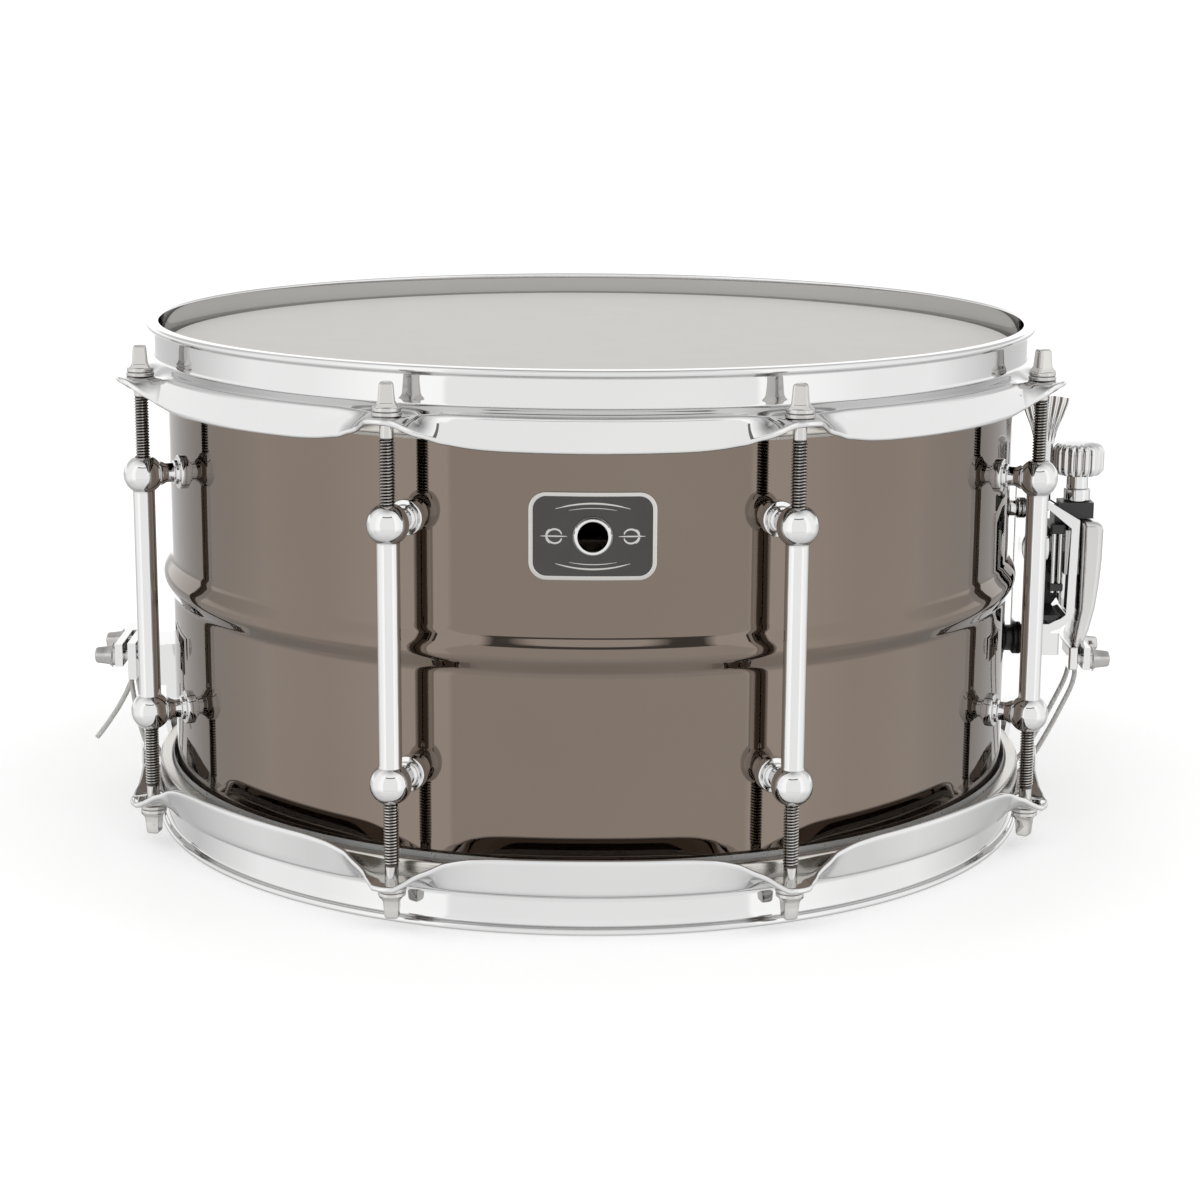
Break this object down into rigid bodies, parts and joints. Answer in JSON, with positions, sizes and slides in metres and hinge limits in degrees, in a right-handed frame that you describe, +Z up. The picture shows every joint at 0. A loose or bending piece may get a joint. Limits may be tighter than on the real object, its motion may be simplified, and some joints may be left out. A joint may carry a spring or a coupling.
{
  "type": "snare drum",
  "caption": "Snare drum: beaded metal shell, coated top head, flanged hoops, tube lugs, tension rods, snare wires and a side-lever throw-off.",
  "frame": {"origin": "on the drum's axis, in the plane that the bottom hoop's rim rests on", "axes": "+Z up along the drum's axis, -Y towards the badge, +X towards the throw-off, -X towards the butt plate"},
  "size_m": [0.4052, 0.36, 0.1952],
  "materials": {
    "black_nickel": "polished black nickel over brass",
    "chrome": "mirror chrome",
    "plated_steel": "bright plated steel",
    "coated_film": "white sprayed coating",
    "clear_film": "hazy thin film",
    "raw_aluminium": "satin",
    "badge_black": "gloss enamel with bright border",
    "black_plastic": "satin black",
    "snare_wire": "drawn steel wire",
    "plate_brass": "stamped brass",
    "snare_cord": "translucent nylon"
  },
  "bodies": {
    "drum": {"shell": "black_nickel", "vent_grommet": "chrome", "badge": "badge_black", "batter_head": "coated_film", "batter_flesh_hoop": "raw_aluminium", "snare_head": "clear_film", "snare_flesh_hoop": "raw_aluminium", "batter_hoop": "chrome", "snare_hoop": "chrome", "lug_1": "chrome", "lug_2": "chrome", "lug_3": "chrome", "lug_4": "chrome", "lug_5": "chrome", "lug_6": "chrome", "lug_7": "chrome", "lug_8": "chrome", "lug_screws": "plated_steel", "rod_washers": "plated_steel", "strainer_base": "chrome", "strainer_spacers": "black_plastic", "strainer_screws": "plated_steel", "lever_pivot": "plated_steel", "butt_bracket": "chrome", "butt_screws": "plated_steel", "butt_clamp_plate": "chrome", "butt_cords": "snare_cord", "cord_tail": "snare_cord"},
    "lever": {"throw_lever": "chrome"},
    "slide": {"throw_slide": "black_plastic"},
    "knob": {"tuning_knob": "chrome"},
    "carriage": {"clamp_carriage": "chrome", "strainer_clamp_plate": "chrome"},
    "snares": {"snare_wires": "snare_wire", "snare_plate_strainer": "plate_brass", "snare_plate_butt": "plate_brass", "strainer_cords": "snare_cord"},
    "top_rod_1": {"top_rod_1": "plated_steel"},
    "top_rod_2": {"top_rod_2": "plated_steel"},
    "top_rod_3": {"top_rod_3": "plated_steel"},
    "top_rod_4": {"top_rod_4": "plated_steel"},
    "top_rod_5": {"top_rod_5": "plated_steel"},
    "top_rod_6": {"top_rod_6": "plated_steel"},
    "top_rod_7": {"top_rod_7": "plated_steel"},
    "top_rod_8": {"top_rod_8": "plated_steel"},
    "bottom_rod_1": {"bottom_rod_1": "plated_steel"},
    "bottom_rod_2": {"bottom_rod_2": "plated_steel"},
    "bottom_rod_3": {"bottom_rod_3": "plated_steel"},
    "bottom_rod_4": {"bottom_rod_4": "plated_steel"},
    "bottom_rod_5": {"bottom_rod_5": "plated_steel"},
    "bottom_rod_6": {"bottom_rod_6": "plated_steel"},
    "bottom_rod_7": {"bottom_rod_7": "plated_steel"},
    "bottom_rod_8": {"bottom_rod_8": "plated_steel"},
    "strainer_key_screw_1": {"strainer_key_screw_1": "plated_steel"},
    "butt_key_screw_1": {"butt_key_screw_1": "plated_steel"},
    "strainer_key_screw_2": {"strainer_key_screw_2": "plated_steel"},
    "butt_key_screw_2": {"butt_key_screw_2": "plated_steel"}
  },
  "joints": [
    {"name": "throw_lever_swing", "type": "hinge", "parent": "drum", "child": "lever", "pos_m": [0.179, 0, 0.104], "axis": [-1, 0, 0], "range_deg": [0, 75]},
    {"name": "throw_slide_drop", "type": "slide", "parent": "drum", "child": "slide", "axis": [0, 0, -1], "range_m": [0, 0.0079]},
    {"name": "tuning_knob_turn", "type": "hinge", "parent": "slide", "child": "knob", "pos_m": [0.193, 0, 0.13], "axis": [0, 0, 1], "range_deg": [0, 2160]},
    {"name": "clamp_carriage_adjust", "type": "slide", "parent": "slide", "child": "carriage", "axis": [0, 0, -1], "range_m": [0, 0.0042]},
    {"name": "snare_drop", "type": "slide", "parent": "slide", "child": "snares", "axis": [0, 0, 1], "range_m": [0, 0.0066], "deforming": ["strainer_cords"]},
    {"name": "top_rod_1_turn", "type": "hinge", "parent": "drum", "child": "top_rod_1", "pos_m": [0.16537, 0.0685, 0.1792], "axis": [0, 0, 1], "range_deg": [-360, 360]},
    {"name": "top_rod_2_turn", "type": "hinge", "parent": "drum", "child": "top_rod_2", "pos_m": [0.0685, 0.16537, 0.1792], "axis": [0, 0, 1], "range_deg": [-360, 360]},
    {"name": "top_rod_3_turn", "type": "hinge", "parent": "drum", "child": "top_rod_3", "pos_m": [-0.0685, 0.16537, 0.1792], "axis": [0, 0, 1], "range_deg": [-360, 360]},
    {"name": "top_rod_4_turn", "type": "hinge", "parent": "drum", "child": "top_rod_4", "pos_m": [-0.16537, 0.0685, 0.1792], "axis": [0, 0, 1], "range_deg": [-360, 360]},
    {"name": "top_rod_5_turn", "type": "hinge", "parent": "drum", "child": "top_rod_5", "pos_m": [-0.16537, -0.0685, 0.1792], "axis": [0, 0, 1], "range_deg": [-360, 360]},
    {"name": "top_rod_6_turn", "type": "hinge", "parent": "drum", "child": "top_rod_6", "pos_m": [-0.0685, -0.16537, 0.1792], "axis": [0, 0, 1], "range_deg": [-360, 360]},
    {"name": "top_rod_7_turn", "type": "hinge", "parent": "drum", "child": "top_rod_7", "pos_m": [0.0685, -0.16537, 0.1792], "axis": [0, 0, 1], "range_deg": [-360, 360]},
    {"name": "top_rod_8_turn", "type": "hinge", "parent": "drum", "child": "top_rod_8", "pos_m": [0.16537, -0.0685, 0.1792], "axis": [0, 0, 1], "range_deg": [-360, 360]},
    {"name": "bottom_rod_1_turn", "type": "hinge", "parent": "drum", "child": "bottom_rod_1", "pos_m": [0.16537, 0.0685, 0.016], "axis": [0, 0, -1], "range_deg": [-360, 360]},
    {"name": "bottom_rod_2_turn", "type": "hinge", "parent": "drum", "child": "bottom_rod_2", "pos_m": [0.0685, 0.16537, 0.016], "axis": [0, 0, -1], "range_deg": [-360, 360]},
    {"name": "bottom_rod_3_turn", "type": "hinge", "parent": "drum", "child": "bottom_rod_3", "pos_m": [-0.0685, 0.16537, 0.016], "axis": [0, 0, -1], "range_deg": [-360, 360]},
    {"name": "bottom_rod_4_turn", "type": "hinge", "parent": "drum", "child": "bottom_rod_4", "pos_m": [-0.16537, 0.0685, 0.016], "axis": [0, 0, -1], "range_deg": [-360, 360]},
    {"name": "bottom_rod_5_turn", "type": "hinge", "parent": "drum", "child": "bottom_rod_5", "pos_m": [-0.16537, -0.0685, 0.016], "axis": [0, 0, -1], "range_deg": [-360, 360]},
    {"name": "bottom_rod_6_turn", "type": "hinge", "parent": "drum", "child": "bottom_rod_6", "pos_m": [-0.0685, -0.16537, 0.016], "axis": [0, 0, -1], "range_deg": [-360, 360]},
    {"name": "bottom_rod_7_turn", "type": "hinge", "parent": "drum", "child": "bottom_rod_7", "pos_m": [0.0685, -0.16537, 0.016], "axis": [0, 0, -1], "range_deg": [-360, 360]},
    {"name": "bottom_rod_8_turn", "type": "hinge", "parent": "drum", "child": "bottom_rod_8", "pos_m": [0.16537, -0.0685, 0.016], "axis": [0, 0, -1], "range_deg": [-360, 360]},
    {"name": "strainer_key_screw_1_turn", "type": "hinge", "parent": "carriage", "child": "strainer_key_screw_1", "pos_m": [0.1975, -0.013, 0.0605], "axis": [1, 0, 0], "range_deg": [-360, 360]},
    {"name": "butt_key_screw_1_turn", "type": "hinge", "parent": "drum", "child": "butt_key_screw_1", "pos_m": [-0.187, -0.013, 0.0605], "axis": [-1, 0, 0], "range_deg": [-360, 360]},
    {"name": "strainer_key_screw_2_turn", "type": "hinge", "parent": "carriage", "child": "strainer_key_screw_2", "pos_m": [0.1975, 0.013, 0.0605], "axis": [1, 0, 0], "range_deg": [-360, 360]},
    {"name": "butt_key_screw_2_turn", "type": "hinge", "parent": "drum", "child": "butt_key_screw_2", "pos_m": [-0.187, 0.013, 0.0605], "axis": [-1, 0, 0], "range_deg": [-360, 360]}
  ],
  "couplings": [
    {"joint": "throw_lever_swing", "follows": "throw_slide_drop", "rad_per_m": 165.69},
    {"joint": "snare_drop", "follows": "throw_slide_drop", "ratio": 0.81046},
    {"joint": "tuning_knob_turn", "follows": "clamp_carriage_adjust", "rad_per_m": 8975.9}
  ]
}
